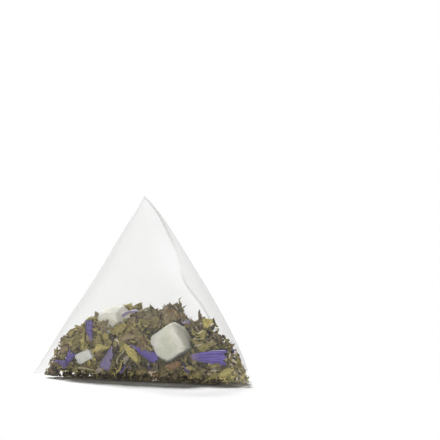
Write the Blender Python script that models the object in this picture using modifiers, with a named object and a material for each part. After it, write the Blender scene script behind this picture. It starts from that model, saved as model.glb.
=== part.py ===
"""A pyramid tea bag: a sealed mesh bag standing on one face, with cut herb, petals and fruit in it.

Metres, +Z up. The bag stands on z = 0 with its steepest face towards -Y. Its mesh is a tube with a flat
seal at each end, the two seals at right angles, so that it has four soft-edged faces. The origin is on
the table under the middle of the three standing corners.
"""
import math
import random

import bmesh
import bpy
from mathutils import Matrix, Vector, noise
from mathutils.bvhtree import BVHTree

OBJECT_NAME = "pyramid_tea_bag"
MM = 0.001

# Mesh bag
SEAL_LENGTH = 60.0 * MM      # each flat seal, and half the tube's girth
SEAL_SPACING = 32.0 * MM     # from the line of one seal to that of the other
EDGE_RADIUS = 11.8 * MM      # soft edges, half way between the seals
FILM = 0.3 * MM              # mesh thickness, measured in the tube's section
FIN_WIDTH = 1.0 * MM         # welded strip past each seal's line
TIP_LIFT = 1.0 * MM          # standing corners over the table
PORE = 2.4 * MM              # square gaps that stand for the open weave
PORE_PITCH = 7.0 * MM

# Herb heap
GAP = 0.3 * MM               # clearance between neighbours
LAYER = 3.2 * MM             # loose layer between the heap and the mesh
HEAP_HEIGHT = 16.5 * MM      # at the crest
HEAP_SLOPE = 0.42            # fall for each metre away from the crest
CREST = Vector((-5.0 * MM, -6.0 * MM))
CREST_RADIUS = 4.0 * MM      # rounding of the crest
HEAP_BUMP = 0.5 * MM         # depth of the hollows between leaf bits
BUMP_WIDTH = 2.2 * MM        # their width

# Loose pieces
FLAKE = 0.4 * MM             # thickness of leaf and petal
CURL = 0.55 * MM             # how far a flake bends out of its surface
LEAF_LENGTH = 6.4 * MM       # the largest leaf
LEAF_WIDTH = 3.0 * MM
PETAL_LENGTH = 8.0 * MM      # the largest petal
PETAL_WIDTH = 3.6 * MM
STALK_LENGTH = 5.6 * MM      # the largest stalk
STALK_DIAMETER = 0.7 * MM
FRUIT_FRONT = (7.2 * MM, 7.0 * MM, 6.0 * MM)
FRUIT_REAR = (6.0 * MM, 5.0 * MM, 5.0 * MM)
FRUIT_LEFT = (4.4 * MM, 2.8 * MM, 1.5 * MM)
FRUIT_EDGE = 0.45 * MM

# Sides that the layout is drawn from
VIEW_BEARING = math.radians(30)
OTHER_BEARINGS = [math.radians(118), math.radians(242)]
VIEW_HEIGHT = math.radians(4.5)
ABOVE = math.radians(89)

# Mesh fineness
RINGS = 16
CORNER_STEPS = 4
GIRTH_STEPS = 64
HEAP_FINENESS = 4
SEARCH_TRIES = 260
STRAIGHT_TRIES = 16          # tries straight into the heap before one also moves towards its middle
SEARCH_STEP = 0.1 * MM       # how much wider each pair of tries looks
PROBE = 0.1 * MM             # step that a slope of the heap is measured over
PROBE_SHARE = 0.02           # the same along the tube, as a share of the way between the seals

# Values that follow from the sizes above
SLANT = math.hypot(SEAL_SPACING, SEAL_LENGTH / 2)
HALF_FOLD = math.atan2(SEAL_LENGTH / 2, SEAL_SPACING)
SEAL_Y = -SLANT / 3
CORNER_SAVING = (4 - math.pi) / 2        # mesh that a round corner saves over a square one
ROUNDEST = 0.97 / (2 - CORNER_SAVING)    # radius at which a narrow side is a half circle
BAND = FLAKE + CURL + GAP                # one layer of flakes
LARGEST_DROP = 1.5 * CURL                # how far a flake bends to follow the heap
SEAT = 1.5 * GAP                         # clearance under the lowest flakes
GOLDEN_ANGLE = math.radians(137.5)
HEART = Vector((CREST.x / 2, CREST.y / 2, HEAP_HEIGHT / 3))    # well inside the heap


def clear_scene():
    """Removes what the scene holds."""
    for old in list(bpy.data.objects):
        bpy.data.objects.remove(old, do_unlink=True)


def new_collection(name):
    """A collection in the scene."""
    made = bpy.data.collections.new(name)
    bpy.context.scene.collection.children.link(made)
    return made


def linear(value):
    """A display colour value, 0 to 255, as linear light."""
    share = value / 255
    return share / 12.92 if share <= 0.04045 else ((share + 0.055) / 1.055) ** 2.4


def material(name, colour, roughness, alpha=1.0):
    """A plain finish for one kind of piece."""
    made = bpy.data.materials.new(name)
    made.use_nodes = True
    shader = made.node_tree.nodes["Principled BSDF"]
    shader.inputs["Base Color"].default_value = (*(linear(value) for value in colour), 1.0)
    shader.inputs["Roughness"].default_value = roughness
    shader.inputs["Metallic"].default_value = 0.0
    shader.inputs["Alpha"].default_value = alpha
    return made


def add_object(name, data, finish, collection):
    """An object of the model with its finish."""
    made = bpy.data.objects.new(name, data)
    made.data.materials.append(finish)
    collection.objects.link(made)
    return made


def to_world(across, aside, along):
    """A point of the tube, from its own axes to the standing bag's."""
    sine, cosine = math.sin(HALF_FOLD), math.cos(HALF_FOLD)
    return Vector((across, SEAL_Y - sine * aside + cosine * along, TIP_LIFT + cosine * aside + sine * along))


def section(t):
    """Half width, half height and corner radius of the tube, from the front seal (0) to the top seal (1)."""
    radius = min(EDGE_RADIUS * math.sin(math.pi * t), ROUNDEST * SEAL_LENGTH * min(t, 1 - t))
    saved = CORNER_SAVING * radius
    return (SEAL_LENGTH * (1 - t) + saved) / 2, (SEAL_LENGTH * t + saved) / 2, radius


def outline(half_width, half_height, radius, steps=CORNER_STEPS):
    """Points round a section, as four arcs joined by flats."""
    points = []
    for quarter in range(4):
        side = 1 if quarter in (0, 3) else -1
        top = 1 if quarter in (0, 1) else -1
        for step in range(steps + 1):
            angle = math.pi / 2 * (quarter + step / steps)
            points.append((side * (half_width - radius) + radius * math.cos(angle),
                           top * (half_height - radius) + radius * math.sin(angle)))
    return points


def loft(mesh, rings):
    """Joins rings of equal count into a closed skin with flat ends, and returns its faces."""
    rows = [[mesh.verts.new(point) for point in ring] for ring in rings]
    faces = [mesh.faces.new(rows[0]), mesh.faces.new(rows[-1])]
    for low, high in zip(rows, rows[1:]):
        for index in range(len(low)):
            after = (index + 1) % len(low)
            faces.append(mesh.faces.new((low[index], low[after], high[after], high[index])))
    bmesh.ops.recalc_face_normals(mesh, faces=faces)
    return faces


def ring_at(half_width, half_height, radius, along, lowest):
    """One section of the tube in world space, pressed flat where the table stops it."""
    ring = [to_world(across, aside, along) for across, aside in outline(half_width, half_height, radius)]
    for point in ring:
        point.z = max(point.z, lowest)
    return ring


def bag_rings(offset, lowest):
    """The tube's sections, moved out by the offset."""
    slit = 2 * FILM / SEAL_SPACING
    rings = []
    for index in range(RINGS + 1):
        t = slit + (1 - 2 * slit) * index / RINGS
        half_width, half_height, radius = section(t)
        rings.append(ring_at(half_width + offset, half_height + offset, radius + offset,
                             t * SEAL_SPACING, lowest))
    return rings


def bag_skins():
    """The bag's outer skin with its two fins, and its inner skin, as one mesh."""
    mesh = bmesh.new()
    long_half = (SEAL_LENGTH + FILM) / 2
    front = [ring_at(long_half, FILM, FILM / 2, along, 0) for along in (-FIN_WIDTH, 0)]
    top = [ring_at(FILM, long_half, FILM / 2, SEAL_SPACING + along, 0) for along in (0, FIN_WIDTH)]
    loft(mesh, front + bag_rings(FILM / 2, 0) + top)
    inner = loft(mesh, bag_rings(-FILM / 2, FILM))
    bmesh.ops.reverse_faces(mesh, faces=inner)
    return mesh


def walk_round(t, distance):
    """The point of the tube's girth at t that lies this far round it, and the way on, in the section."""
    half_width, half_height, radius = section(t)
    points = [Vector(point) for point in outline(half_width, half_height, radius, GIRTH_STEPS // 4)]
    points = points[GIRTH_STEPS // 4:] + points[:GIRTH_STEPS // 4]
    left = distance + half_width - radius
    while True:
        for start, end in zip(points, points[1:] + points[:1]):
            length = (end - start).length
            if left < length and length > 0:
                return start.lerp(end, left / length), (end - start).normalized()
            left -= length


def has_room_for_pore(t, place):
    """Whether a pore is clear of the tight folds near the seals' ends."""
    half_width, half_height, radius = section(t)
    on_flat = (abs(place.x) <= half_width - radius - PORE / 2
               or abs(place.y) <= half_height - radius - PORE / 2)
    return on_flat or radius >= 1.5 * PORE


def pore_cutter(collection):
    """Square cutters in staggered rows round the tube, one for each gap of the weave."""
    mesh = bmesh.new()
    girth = 2 * SEAL_LENGTH
    columns = max(6, round(girth / PORE_PITCH))
    rows = max(2, round(SLANT / PORE_PITCH))
    for row in range(rows):
        t = (row + 0.5) / rows
        for column in range(columns):
            distance = girth * (column + 0.5 * (row % 2)) / columns
            place, onward = walk_round(t, distance)
            if not has_room_for_pore(t, place):
                continue
            beyond = t + PROBE_SHARE
            further = walk_round(beyond, distance)[0]
            middle = to_world(place.x, place.y, t * SEAL_SPACING)
            round_way = (to_world(onward.x, onward.y, 0) - to_world(0, 0, 0)).normalized()
            slant_way = to_world(further.x, further.y, beyond * SEAL_SPACING) - middle
            outward = round_way.cross(slant_way).normalized()
            slant_way = outward.cross(round_way)
            turn = Matrix((round_way, slant_way, outward)).transposed().to_4x4()
            size = Matrix.Diagonal((PORE, PORE, 8 * FILM, 1))
            middle.z = max(middle.z, FILM / 2)
            bmesh.ops.create_cube(mesh, size=1, matrix=Matrix.Translation(middle) @ turn @ size)
    data = bpy.data.meshes.new("pores")
    mesh.to_mesh(data)
    mesh.free()
    cutter = bpy.data.objects.new("pores", data)
    collection.objects.link(cutter)
    cutter.hide_render = True
    cutter.display_type = "WIRE"
    return cutter


def cut(target, cutter):
    """Takes the cutter's shape out of the target."""
    boolean = target.modifiers.new("cut by " + cutter.name, "BOOLEAN")
    boolean.operation = "DIFFERENCE"
    boolean.solver = "EXACT"
    boolean.object = cutter


def mesh_bag(finish, collection, cutters):
    """The bag of translucent mesh, and the tree of its skins that other pieces keep clear of."""
    skins = bag_skins()
    tree = BVHTree.FromBMesh(skins)
    data = bpy.data.meshes.new("mesh_bag")
    skins.to_mesh(data)
    skins.free()
    bag = add_object("mesh_bag", data, finish, collection)
    cut(bag, pore_cutter(cutters))
    return tree


def section_distance(across, aside, t):
    """Distance outside the tube's section at t."""
    half_width, half_height, radius = section(t)
    past_x = across - half_width + radius
    past_y = aside - half_height + radius
    return math.hypot(max(past_x, 0), max(past_y, 0)) + min(max(past_x, past_y), 0) - radius


def wall_distance(point):
    """Distance outside the middle of the bag's wall, which is less than nothing inside it."""
    sine, cosine = math.sin(HALF_FOLD), math.cos(HALF_FOLD)
    back, up = point.y - SEAL_Y, point.z - TIP_LIFT
    across, aside = abs(point.x), abs(cosine * up - sine * back)
    t = min(max((cosine * back + sine * up) / SEAL_SPACING, 0), 1 - PROBE_SHARE)
    here = section_distance(across, aside, t)
    slope = (section_distance(across, aside, t + PROBE_SHARE) - here) / (PROBE_SHARE * SEAL_SPACING)
    return max(here / math.hypot(1, slope), FILM - point.z)


def heap_distance(point):
    """Distance over the herb heap, which keeps a loose layer's width from the sloping walls."""
    layer = 2 * GAP + (LAYER - 2 * GAP) * min(max(point.z / LAYER, 0), 1)
    side = wall_distance(point) + layer
    run = math.hypot((point.xy - CREST).length, CREST_RADIUS) - CREST_RADIUS
    top = (point.z - HEAP_HEIGHT + HEAP_SLOPE * run) * math.cos(math.atan(HEAP_SLOPE))
    return (side + top + math.hypot(side - top, CREST_RADIUS / 3)) / 2


def outward_at(point):
    """The steepest way out of the heap."""
    here = heap_distance(point)
    steps = [Vector((PROBE, 0, 0)), Vector((0, PROBE, 0)), Vector((0, 0, PROBE))]
    return Vector([heap_distance(point + step) - here for step in steps]).normalized()


def drape(point, outward, level):
    """Moves a point along the outward way to this level over the heap, but by no more than the drop."""
    moved = 0.0
    for _ in range(4):
        here = heap_distance(point + outward * moved)
        rate = (heap_distance(point + outward * (moved + PROBE)) - here) / PROBE
        moved -= (here - level) / max(rate, 0.3)
        moved = min(max(moved, -LARGEST_DROP), LARGEST_DROP)
    return point + outward * moved


def reach(start, way, level):
    """The first point at this level over the heap, along the way from the start."""
    near, far = 0.0, start.length
    for _ in range(22):
        middle = (near + far) / 2
        if heap_distance(start + way * middle) > level:
            near = middle
        else:
            far = middle
    return start + way * near


def seat(start, way, band, half):
    """A seat on the heap for a piece of this half thickness, and its height over the heap.

    Band 0 lies against the mesh, and band 1 on the heap. Where no mesh is near, all lies on the heap.
    """
    high = SEAT + half + BAND
    centre = reach(start, way, high)
    if band == 0 and wall_distance(centre) > high - LAYER - GAP / 2:
        return centre, high
    return reach(start, way, high - BAND), high - BAND


def seen_from(bearing, height, across, up):
    """Where the line of sight starts for a place seen from a bearing, and the way that it runs."""
    right = Vector((math.cos(bearing), math.sin(bearing), 0))
    way = Vector((-math.sin(bearing) * math.cos(height), math.cos(bearing) * math.cos(height), -math.sin(height)))
    upward = right.cross(way)
    return right * across + upward * up - way * SEAL_LENGTH, way


def frame_at(point, turn):
    """The outward way at a point of the heap, and the ways along and beside a piece turned on it."""
    outward = outward_at(point)
    right = Vector((0, 0, 1)).cross(outward)
    right = right.normalized() if right.length > 0.05 else Vector((1, 0, 0))
    upward = outward.cross(right)
    onward = (right * math.cos(turn) + upward * math.sin(turn)).normalized()
    return outward, onward, outward.cross(onward)


def slab(grid, thickness):
    """Corner points and faces of a bent plate round a grid of points."""
    rows, columns = len(grid), len(grid[0])
    sides = []
    for sign in (0.5, -0.5):
        for row in range(rows):
            for column in range(columns):
                before, after = grid[max(row - 1, 0)][column], grid[min(row + 1, rows - 1)][column]
                left, right = grid[row][max(column - 1, 0)], grid[row][min(column + 1, columns - 1)]
                normal = (after - before).cross(right - left).normalized()
                sides.append(grid[row][column] + normal * sign * thickness)
    faces = []
    for level in (0, rows * columns):
        for row in range(rows - 1):
            for column in range(columns - 1):
                corner = level + row * columns + column
                faces.append((corner, corner + 1, corner + columns + 1, corner + columns))
    edge = list(range(columns))
    edge += [row * columns + columns - 1 for row in range(1, rows)]
    edge += [(rows - 1) * columns + column for column in range(columns - 2, -1, -1)]
    edge += [row * columns for row in range(rows - 2, 0, -1)]
    for here, after in zip(edge, edge[1:] + edge[:1]):
        faces.append((here, after, after + rows * columns, here + rows * columns))
    return sides, faces


class Placing:
    """Finds room for loose pieces between the bag and the heap, clear of those already placed."""

    def __init__(self, bag_tree):
        self.taken = [bag_tree]
        self.blocks = []

    def is_clear(self, tree, points):
        """Whether the shape is in the bag, off all that is placed and not hidden inside a block of fruit."""
        if any(tree.overlap(other) for other in self.taken):
            return False
        if any(wall_distance(point) > -FILM / 2 for point in points):
            return False
        for block in self.blocks:
            for point in points:
                nearest, normal = block.find_nearest(point)[:2]
                if (point - nearest).dot(normal) < 0:
                    return False
        return True

    def find(self, seen, make_shape):
        """Tries places in a widening spiral round the wanted one until a shape is clear there."""
        bearing, height, across, up = seen
        for attempt in range(SEARCH_TRIES):
            reach_out = SEARCH_STEP * (attempt // 2)
            angle = GOLDEN_ANGLE * (attempt // 2)
            start, way = seen_from(bearing, height, across + reach_out * math.cos(angle),
                                   up + reach_out * math.sin(angle))
            made, points, faces = make_shape(start, way, attempt % 2)
            tree = BVHTree.FromPolygons(points, faces)
            if self.is_clear(tree, points):
                break
        self.taken.append(tree)
        return made


def flake_grid(start, way, band, turn, length, width, lift, draw, shape):
    """A flake's middle surface, bent to follow the heap at a band of the loose layer."""
    centre, base = seat(start, way, band, FLAKE / 2)
    outward, onward, beside = frame_at(centre, turn)
    swing, phase = draw.uniform(2.0, 4.5), draw.uniform(0, 2 * math.pi)
    waves = [[math.sin(swing * (u + v) + phase) for v, _ in line] for u, line in shape]
    lowest = min(min(wave) for wave in waves)
    grid = []
    for (u, line), wave in zip(shape, waves):
        row = []
        for (v, narrow), high in zip(line, wave):
            flat = centre + onward * (u - 0.5) * length + beside * (v * narrow * width)
            rise = CURL * (high - lowest) / 2
            row.append(drape(flat, outward, base + rise) + outward * math.tan(lift) * u * length)
        grid.append(row)
    return grid


def leaf_shape(draw):
    """A broken leaf bit: rows along it, each with places across it and a share of the full width."""
    shape = []
    for step in range(5):
        u = step / 4
        full = 0.5 + 0.5 * math.sin(math.pi * (0.15 + 0.7 * u))
        shape.append((u, [(v, full * draw.uniform(0.75, 1.0)) for v in (-0.5, 0, 0.5)]))
    return shape


def petal_shape(draw):
    """A floret's ray: a narrow claw that widens to a toothed end."""
    shape = []
    for step in range(5):
        u = step / 4
        full = 0.22 + 0.78 * u ** 1.3
        shape.append((u, [(v, full) for v in (-0.5, -0.17, 0.17, 0.5)]))
    return shape


def add_flake(name, finish, collection, placing, seen, turn, length, width, lift, shape_of):
    """One leaf bit or petal."""
    shape = shape_of(random.Random(name))

    def make_shape(start, way, band):
        grid = flake_grid(start, way, band, turn, length, width, lift, random.Random(name), shape)
        points, faces = slab(grid, FLAKE + 2 * GAP)
        return grid, points, faces

    grid = placing.find(seen, make_shape)
    columns = len(grid[0])
    points = [point for row in grid for point in row]
    faces = []
    for row in range(len(grid) - 1):
        for column in range(columns - 1):
            corner = row * columns + column
            faces.append((corner, corner + columns, corner + columns + 1, corner + 1))
    middle = sum(points, Vector()) / len(points)
    data = bpy.data.meshes.new(name)
    data.from_pydata([point - middle for point in points], [], faces)
    data.update()
    made = add_object(name, data, finish, collection)
    made.location = middle
    shell = made.modifiers.new("thickness", "SOLIDIFY")
    shell.thickness = FLAKE
    shell.offset = 0
    return made


def add_stalk(name, finish, collection, placing, seen, turn, length, bow):
    """One thin stalk."""
    def make_shape(start, way, band):
        centre, base = seat(start, way, band, STALK_DIAMETER / 2)
        outward, onward, beside = frame_at(centre, turn)
        path = []
        for step in range(6):
            u = step / 5
            bent = beside * bow * length * math.sin(math.pi * u)
            path.append(drape(centre + onward * (u - 0.5) * length + bent, outward, base))
        half = beside * (STALK_DIAMETER / 2 + GAP)
        points, faces = slab([[point - half, point, point + half] for point in path], STALK_DIAMETER + 2 * GAP)
        return path, points, faces

    path = placing.find(seen, make_shape)
    middle = sum(path, Vector()) / len(path)
    data = bpy.data.curves.new(name, "CURVE")
    data.dimensions = "3D"
    data.bevel_depth = STALK_DIAMETER / 2
    data.bevel_resolution = 1
    data.use_fill_caps = True
    spline = data.splines.new("POLY")
    spline.points.add(len(path) - 1)
    for target, point in zip(spline.points, path):
        target.co = (*(point - middle), 1)
    made = add_object(name, data, finish, collection)
    made.location = middle
    return made


def fruit_mesh(name, size, grow):
    """An uneven block of dried fruit, grown on all sides."""
    draw = random.Random("fruit")
    mesh = bmesh.new()
    bmesh.ops.create_cube(mesh, size=1)
    for corner in mesh.verts:
        for axis in range(3):
            uneven = 1 + draw.uniform(-0.08, 0.08)
            corner.co[axis] *= size[axis] * uneven + 2 * grow
    data = bpy.data.meshes.new(name)
    mesh.to_mesh(data)
    mesh.free()
    return data


def add_fruit(name, finish, collection, cutters, placing, seen, turn, tilt, size):
    """One piece of dried fruit, and the hollow that it lies in."""
    turn, tilt = math.radians(turn), math.radians(tilt)
    grown = fruit_mesh(name + "_hollow", size, GAP)
    corners = [corner.co.copy() for corner in grown.vertices]
    sides = [tuple(face.vertices) for face in grown.polygons]
    start, way = seen_from(*seen)
    depth = LAYER - GAP - size[2] / 2
    for attempt in range(SEARCH_TRIES):
        inward = max(attempt - STRAIGHT_TRIES, 0) / SEARCH_TRIES
        centre = reach(start, way, depth - attempt * GAP).lerp(HEART, inward)
        outward, onward, beside = frame_at(centre, turn)
        spin = Matrix((onward, beside, outward)).transposed() @ Matrix.Rotation(tilt, 3, "X")
        place = Matrix.Translation(centre) @ spin.to_4x4()
        points = [place @ corner for corner in corners]
        tree = BVHTree.FromPolygons(points, sides)
        if placing.is_clear(tree, points):
            break
    placing.taken.append(tree)
    placing.blocks.append(tree)
    made = add_object(name, fruit_mesh(name, size, 0), finish, collection)
    made.matrix_world = place
    edge = made.modifiers.new("soft edges", "BEVEL")
    edge.width = FRUIT_EDGE
    edge.segments = 2
    hollow = bpy.data.objects.new(name + "_hollow", grown)
    hollow.matrix_world = place
    hollow.hide_render = True
    hollow.display_type = "WIRE"
    cutters.objects.link(hollow)
    return hollow


def leaf_bed(finish, collection, placing, hollows):
    """The heap of fine cut herb, with a hollow for each piece of fruit."""
    mesh = bmesh.new()
    bmesh.ops.create_icosphere(mesh, subdivisions=HEAP_FINENESS, radius=1)
    for corner in mesh.verts:
        way = Vector((corner.co.x, corner.co.y, corner.co.z * 0.6)).normalized()
        near, far = 0.0, SEAL_LENGTH
        for _ in range(20):
            middle = (near + far) / 2
            if heap_distance(HEART + way * middle) < 0:
                near = middle
            else:
                far = middle
        point = HEART + way * near
        if point.z > LAYER:
            point -= way * HEAP_BUMP * (0.5 + 0.5 * noise.noise(point / BUMP_WIDTH))
        corner.co = point
    placing.taken.append(BVHTree.FromBMesh(mesh))
    data = bpy.data.meshes.new("leaf_bed")
    mesh.to_mesh(data)
    mesh.free()
    bed = add_object("leaf_bed", data, finish, collection)
    for hollow in hollows:
        cut(bed, hollow)


# Each row: the place across in hundredths of a seal's length and up in hundredths of the heap's height,
# the turn in degrees, then the length and the width in hundredths of the largest of its kind
PETALS = [
    (17, 28, 2, 100, 100), (-9, 46, -24, 94, 61), (-40, 28, 53, 60, 50), (-26, 28, -114, 75, 67),
    (-9, 20, -105, 70, 36), (-19, 14, 35, 50, 42), (-32, 71, 100, 54, 50), (-17, 92, 60, 43, 42),
    (3, 79, -10, 33, 39), (-45, 16, -15, 33, 34), (6, 12, 80, 33, 36),
]
LEAVES = [
    (-40, 62, 80, 66, 100), (-26, 76, 75, 56, 60), (2, 90, 60, 60, 73), (0, 88, -8, 100, 80),
    (11, 62, -25, 77, 93), (-16, 36, -48, 84, 87), (1, 19, 20, 67, 80), (-3, 8, 10, 53, 60),
    (-13, 69, -30, 78, 80), (-21, 58, 20, 72, 87), (-31, 52, -20, 72, 80), (13, 47, 40, 69, 73),
    (26, 10, 15, 50, 60), (-44, 21, 30, 42, 50),
]
# The last value of a stalk is its bow in hundredths of its length
STALKS = [
    (-22, 57, 47, 93, 12), (-11, 95, 40, 71, -10), (14, 72, -60, 89, 15), (19, 59, -68, 68, 5),
    (-35, 12, -10, 98, 10),
]
# Name, place as above, turn and tilt in degrees, size
FRUIT = [
    ("fruit_cube_front", 0, 50, 31, 4, FRUIT_FRONT),
    ("fruit_cube_rear", -23, 84, 8, -6, FRUIT_REAR),
    ("fruit_piece_left", -35, 31, 27, 0, FRUIT_LEFT),
]
TOP_LIFT = 25                # how far the leaves on the crest stand up, in degrees


def drawn_rows(count, draw, across, up, last):
    """Rows of a layout, drawn within these places, with their last value in this range."""
    rows = []
    for _ in range(count):
        rows.append((draw.uniform(*across), draw.uniform(*up), draw.uniform(0, 360),
                     draw.uniform(60, 85), draw.uniform(*last)))
    return rows


def names(kind):
    """Numbered names for pieces of one kind."""
    number = 0
    while True:
        number += 1
        yield f"{kind}_{number:02d}"


def build():
    """Makes the whole tea bag."""
    clear_scene()
    collection = new_collection(OBJECT_NAME)
    cutters = new_collection("cutters")
    film = material("translucent_mesh", (240, 240, 238), 0.6, 0.35)
    herb = material("cut_herb", (118, 109, 86), 0.9)
    leaf = material("dried_leaf", (140, 136, 98), 0.85)
    petal = material("blue_petal", (102, 92, 168), 0.7)
    fruit = material("dried_fruit", (214, 212, 200), 0.5)
    stalk = material("stalk", (165, 158, 118), 0.8)

    placing = Placing(mesh_bag(film, collection, cutters))

    def seen(bearing, height, across, up):
        return bearing, height, across / 100 * SEAL_LENGTH, up / 100 * HEAP_HEIGHT

    hollows = []
    for name, across, up, turn, tilt, size in FRUIT:
        hollows.append(add_fruit(name, fruit, collection, cutters, placing,
                                 seen(VIEW_BEARING, VIEW_HEIGHT, across, up), turn, tilt, size))
    leaf_bed(herb, collection, placing, hollows)

    draw = random.Random(11)
    sides = [(VIEW_BEARING, VIEW_HEIGHT, 0, PETALS, LEAVES, STALKS)]
    for bearing in OTHER_BEARINGS:
        petals = drawn_rows(2, draw, (-18, 18), (9, 58), (50, 65))
        leaves = drawn_rows(6, draw, (-18, 18), (9, 58), (60, 95))
        stalks = drawn_rows(1, draw, (-18, 18), (9, 58), (5, 15))
        sides.append((bearing, VIEW_HEIGHT, 0, petals, leaves, stalks))
    crest = drawn_rows(4, draw, (-15, 12), (-24, 55), (60, 80))
    sides.append((0, ABOVE, math.radians(TOP_LIFT), [], crest, []))

    petal_names, leaf_names, stalk_names = names("petal"), names("leaf"), names("stalk")
    for bearing, height, lift, petals, leaves, stalks in sides:
        for across, up, turn, length, width in petals:
            add_flake(next(petal_names), petal, collection, placing, seen(bearing, height, across, up),
                      math.radians(turn), length / 100 * PETAL_LENGTH, width / 100 * PETAL_WIDTH,
                      lift, petal_shape)
        for across, up, turn, length, width in leaves:
            add_flake(next(leaf_names), leaf, collection, placing, seen(bearing, height, across, up),
                      math.radians(turn), length / 100 * LEAF_LENGTH, width / 100 * LEAF_WIDTH,
                      lift, leaf_shape)
        for across, up, turn, length, bow in stalks:
            add_stalk(next(stalk_names), stalk, collection, placing, seen(bearing, height, across, up),
                      math.radians(turn), length / 100 * STALK_LENGTH, bow / 100)


build()
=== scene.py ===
"""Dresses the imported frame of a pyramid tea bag: fine mesh over cut herb, petals, stalks and dried fruit."""
import functools
import math

import bmesh
import bpy
import numpy as np
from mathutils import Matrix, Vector, noise
from mathutils.bvhtree import BVHTree


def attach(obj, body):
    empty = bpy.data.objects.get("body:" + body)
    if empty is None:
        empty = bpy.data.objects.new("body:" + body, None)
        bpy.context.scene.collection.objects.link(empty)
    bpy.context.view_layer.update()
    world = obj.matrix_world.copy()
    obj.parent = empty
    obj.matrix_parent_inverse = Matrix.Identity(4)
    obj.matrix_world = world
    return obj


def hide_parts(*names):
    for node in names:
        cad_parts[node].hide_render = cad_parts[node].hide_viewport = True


bl_info = {
    "name": "Pyramid tea bag",
    "version": (1, 0, 0),
    "blender": (4, 5, 0),
    "location": "3D View > Sidebar > Tea bag",
    "description": "Dresses a pyramid tea bag with mesh, herb, petals and dried fruit",
    "category": "Object",
}

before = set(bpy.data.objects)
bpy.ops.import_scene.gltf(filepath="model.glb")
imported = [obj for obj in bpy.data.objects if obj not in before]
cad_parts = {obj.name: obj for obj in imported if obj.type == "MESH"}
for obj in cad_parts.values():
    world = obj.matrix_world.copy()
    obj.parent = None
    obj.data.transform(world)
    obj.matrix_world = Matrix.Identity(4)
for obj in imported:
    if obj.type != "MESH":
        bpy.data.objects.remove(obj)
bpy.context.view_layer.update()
MM = 0.001

# The bag's form, as the frame has it: a tube of mesh with a flat seal at each end, at right angles
SEAL_LENGTH = 60.0 * MM
SEAL_SPACING = 32.0 * MM
EDGE_RADIUS = 11.8 * MM
TIP_LIFT = 1.0 * MM
HALF_FOLD = math.atan2(SEAL_LENGTH / 2, SEAL_SPACING)
FOLD_SINE = math.sin(HALF_FOLD)
FOLD_COSINE = math.cos(HALF_FOLD)
SLANT = math.hypot(SEAL_SPACING, SEAL_LENGTH / 2)
SEAL_Y = -SLANT / 3
CORNER_SAVING = (4 - math.pi) / 2
ROUNDEST = 0.97 / (2 - CORNER_SAVING)

# The side that the bag is looked at from
BEARING = math.radians(30)
SIGHT = Vector((-math.sin(BEARING), math.cos(BEARING), 0))
ACROSS = Vector((math.cos(BEARING), math.sin(BEARING), 0))
FLAT_ACROSS = np.array(ACROSS[:2])

# How far flakes are moved inside the mesh, and the room below which one is left out
FLAKE_CLEARANCE = 0.12 * MM
LEAST_CLEARANCE = 0.08 * MM

# The looks of the leaves and the loose herb, and the share of the usual flakes that each takes
LOOK_SHARES = {"olive": 0.33, "grey": 0.24, "yellow": 0.22, "rust": 0.06, "dark": 0.11, "pale": 0.04}

# Which finish each leaf takes, in the order of the CAD pieces
LEAF_LOOKS = ("olive grey olive grey yellow yellow rust pale grey olive yellow olive yellow grey "
              "olive grey rust olive yellow grey olive olive grey yellow olive grey "
              "olive grey olive grey").split()

# How grey and pale each petal is, from 0 to 1, in the order of the CAD pieces
PETAL_AGES = (0.0, 0.05, 0.25, 0.75, 0.6, 0.2, 0.35, 1.0, 0.9, 0.5, 0.4)


def length(name, about, millimetres):
    """A size property."""
    return bpy.props.FloatProperty(name=name, description=about, default=millimetres * MM, unit="LENGTH",
                                   subtype="DISTANCE", precision=5, min=0.0)


def colour(name, about, red, green, blue):
    """A colour property, from display values of 0 to 255."""
    shares = [channel / 255 for channel in (red, green, blue)]
    lights = [share / 12.92 if share <= 0.04045 else ((share + 0.055) / 1.055) ** 2.4 for share in shares]
    return bpy.props.FloatVectorProperty(name=name, description=about, default=lights, size=3,
                                         subtype="COLOR", min=0.0, max=1.0)


def fraction(name, about, value):
    """A property from 0 to 1."""
    return bpy.props.FloatProperty(name=name, description=about, default=value, min=0.0, max=1.0,
                                   subtype="FACTOR")


def count(name, about, value):
    """A whole number property."""
    return bpy.props.IntProperty(name=name, description=about, default=value, min=0, subtype="UNSIGNED")


class TeaBagFilm(bpy.types.PropertyGroup):
    """Sizes and colour of the mesh."""
    fin_width: length("Fin width", "Width of the welded strip past each seal's line", 1.0)
    weave_pitch: length("Weave pitch", "From one thread of the mesh to the next", 0.24)
    wrinkle: length("Wrinkle", "Depth of the soft wrinkles near the seals", 0.3)
    sag: length("Sag", "How far the herb presses the front seal's middle down", 0.85)
    bulge: length("Bulge", "How far the herb presses the front seal's middle out", 0.9)
    left_swell: length("Left swell", "How far the left side swells out at mid height", 1.5)
    tip_bend: length("Tip bend", "How far the top corner bends down", 1.6)
    seal_wave: length("Seal wave", "How far the top seal waves sideways", 1.7)
    wave_height: length("Wave height", "Height of that wave over the table", 22.5)
    cover: fraction("Cover", "How much of the view one layer of mesh blocks", 0.105)
    tone: colour("Tone", "Colour of the threads", 196, 197, 192)
    # A painted sheen: the paler colour that the threads turn to where the mesh is seen at a slant, in place of
    # light shining through it
    painted_sheen: colour("Glow", "Sheen of the threads where the light grazes them", 244, 244, 240)


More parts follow.
